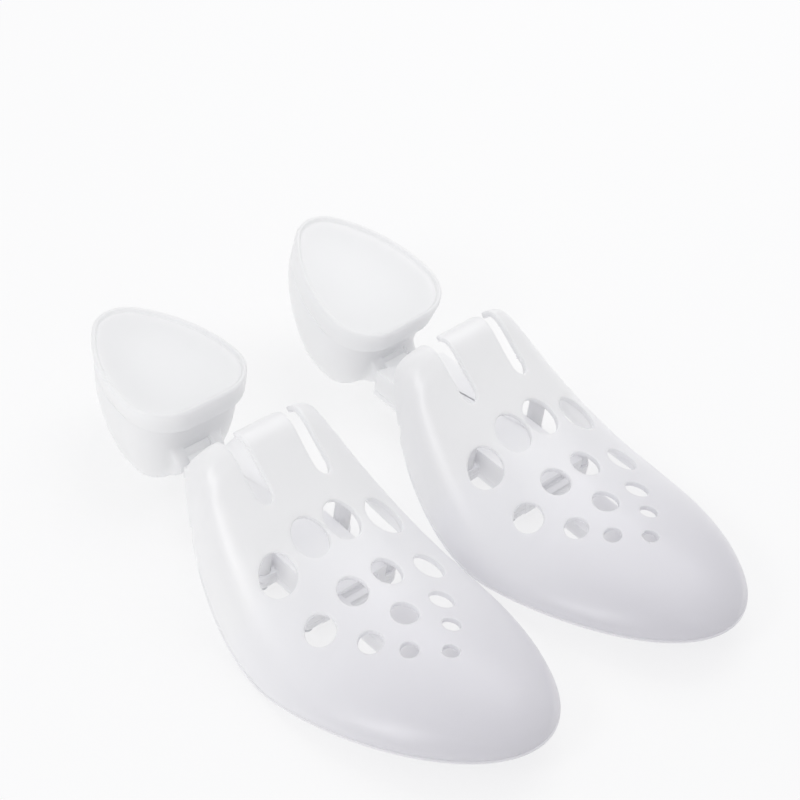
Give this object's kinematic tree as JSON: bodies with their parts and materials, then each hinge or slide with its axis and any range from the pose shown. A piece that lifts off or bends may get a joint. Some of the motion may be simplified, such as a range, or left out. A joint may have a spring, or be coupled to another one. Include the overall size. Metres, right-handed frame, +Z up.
{
  "type": "shoe stretcher",
  "caption": "Adjustable plastic shoe tree pair: vented toe shells with flexible fingers, sliding length bars and tilting heels.",
  "frame": {"origin": "on the floor, under the centre of the pair's box as it stands at rest", "axes": "+X towards the toes, +Y from the right tree to the left tree, +Z up"},
  "size_m": [0.2244, 0.18, 0.0504],
  "materials": {
    "frosted_shell": "frosted translucent polypropylene, moulded satin",
    "frosted_heel": "frosted translucent polypropylene, moulded satin",
    "milky_slide": "milky natural polypropylene, moulded smooth",
    "steel": "zinc-plated steel",
    "spring_steel": "bright spring steel"
  },
  "bodies": {
    "right_forepart": {"right_toe_shell": "frosted_shell", "right_guide_channel": "milky_slide", "right_keeper_plate": "milky_slide", "right_channel_screws": "steel", "right_detent_spring": "spring_steel", "right_spring_rivet": "steel"},
    "right_bar": {"right_length_bar": "milky_slide", "right_stop_pin": "steel"},
    "right_heel": {"right_hinge_pin": "steel", "right_heel_body": "frosted_heel", "right_heel_cap": "frosted_heel"},
    "left_forepart": {"left_toe_shell": "frosted_shell", "left_guide_channel": "milky_slide", "left_keeper_plate": "milky_slide", "left_channel_screws": "steel", "left_detent_spring": "spring_steel", "left_spring_rivet": "steel"},
    "left_bar": {"left_length_bar": "milky_slide", "left_stop_pin": "steel"},
    "left_heel": {"left_hinge_pin": "steel", "left_heel_body": "frosted_heel", "left_heel_cap": "frosted_heel"}
  },
  "joints": [
    {"name": "right_length_slide", "type": "slide", "parent": "right_forepart", "child": "right_bar", "axis": [-1, 0, 0], "range_m": [0, 0.045]},
    {"name": "right_heel_tilt", "type": "hinge", "parent": "right_bar", "child": "right_heel", "pos_m": [-0.05984, -0.046, 0.0131], "axis": [0, 1, 0], "range_deg": [0, 35]},
    {"name": "left_tree_lift", "type": "slide", "parent": "right_forepart", "child": "left_forepart", "axis": [0, 0, 1], "range_m": [0, 0.12]},
    {"name": "left_length_slide", "type": "slide", "parent": "left_forepart", "child": "left_bar", "axis": [-0.9997, -0.0244, 0], "range_m": [0, 0.045]},
    {"name": "left_heel_tilt", "type": "hinge", "parent": "left_bar", "child": "left_heel", "pos_m": [-0.05713, 0.04364, 0.0131], "axis": [-0.0244, 0.9997, 0], "range_deg": [-11.3, 23.7]}
  ]
}
